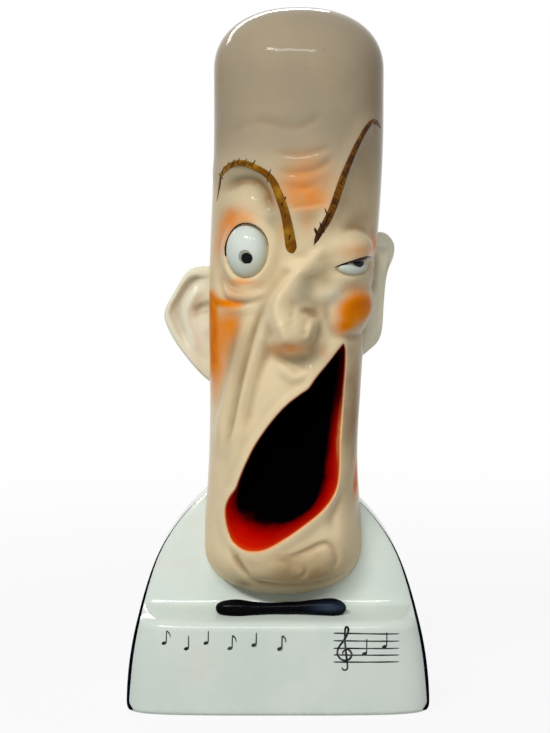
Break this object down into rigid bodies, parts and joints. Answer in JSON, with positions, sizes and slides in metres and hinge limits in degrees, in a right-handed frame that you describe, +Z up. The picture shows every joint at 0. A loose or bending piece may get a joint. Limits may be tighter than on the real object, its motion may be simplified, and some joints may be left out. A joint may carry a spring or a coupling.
{
  "type": "porcelain figural flask",
  "caption": "Hollow porcelain flask shaped as a tall bawling comic head on an arched shirt-front body, filled through a corked hole behind the crown.",
  "frame": {"origin": "on the table under the middle of the body's foot", "axes": "+Z up along the tall head, the face towards -Y, +X to the viewer's right from the front"},
  "size_m": [0.072, 0.0559, 0.165],
  "materials": {
    "flesh_glaze": "glossy flesh-tinted glaze with orange blush",
    "white_glaze": "glossy cool white glaze",
    "mouth_glaze": "glossy red lips and walls round a near-black throat",
    "navy_glaze": "glossy navy-black overglaze paint",
    "biscuit": "matt unglazed foot",
    "cork": "matt natural cork"
  },
  "bodies": {
    "flask": {"face_shell": "flesh_glaze", "head_back_shell": "flesh_glaze", "mouth_liner": "mouth_glaze", "open_eyeball": "white_glaze", "winking_eyeball": "white_glaze", "left_ear": "flesh_glaze", "right_ear": "flesh_glaze", "body_front_shell": "white_glaze", "body_back_shell": "white_glaze", "base_floor": "biscuit", "bow_tie": "navy_glaze", "filler_neck": "flesh_glaze"},
    "stopper": {"cork_stopper": "cork"}
  },
  "joints": [
    {"name": "stopper_pull", "type": "slide", "parent": "flask", "child": "stopper", "axis": [0, 0.9048, 0.4259], "range_m": [0, 0.028]}
  ]
}
